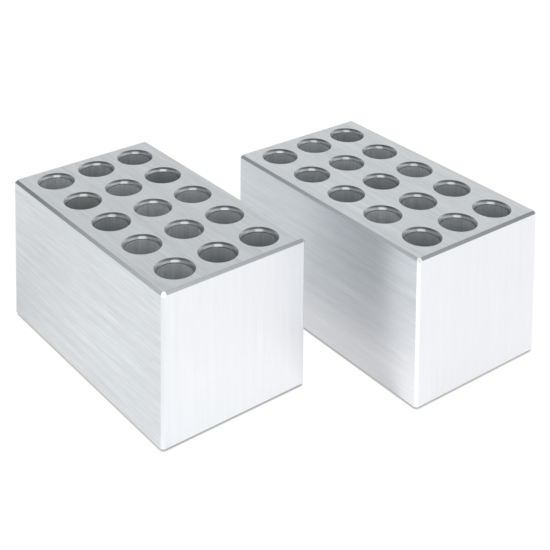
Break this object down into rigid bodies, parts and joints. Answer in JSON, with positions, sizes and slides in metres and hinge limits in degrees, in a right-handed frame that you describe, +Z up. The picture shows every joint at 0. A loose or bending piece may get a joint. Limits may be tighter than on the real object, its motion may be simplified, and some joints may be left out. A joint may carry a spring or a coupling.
{
  "type": "dry block heater tube block",
  "caption": "Loose rectangular aluminium tube blocks for a dry block heater, each with a grid of blind countersunk wells in its top face.",
  "frame": {"origin": "on the bench, at the middle of the pair's bounding box", "axes": "+Z up out of the wells; +Y along the left block's length; +X across it, from the left block to the right block"},
  "size_m": [0.157, 0.1504, 0.059],
  "materials": {
    "brushed_aluminium": "brushed satin, bare machined metal"
  },
  "bodies": {
    "left_block": {"tube_block_left": "brushed_aluminium"},
    "right_block": {"tube_block_right": "brushed_aluminium"}
  },
  "joints": [
    {"name": "right_block_lift", "type": "slide", "parent": "left_block", "child": "right_block", "axis": [0, 0, 1], "range_m": [0, 0.045]}
  ]
}
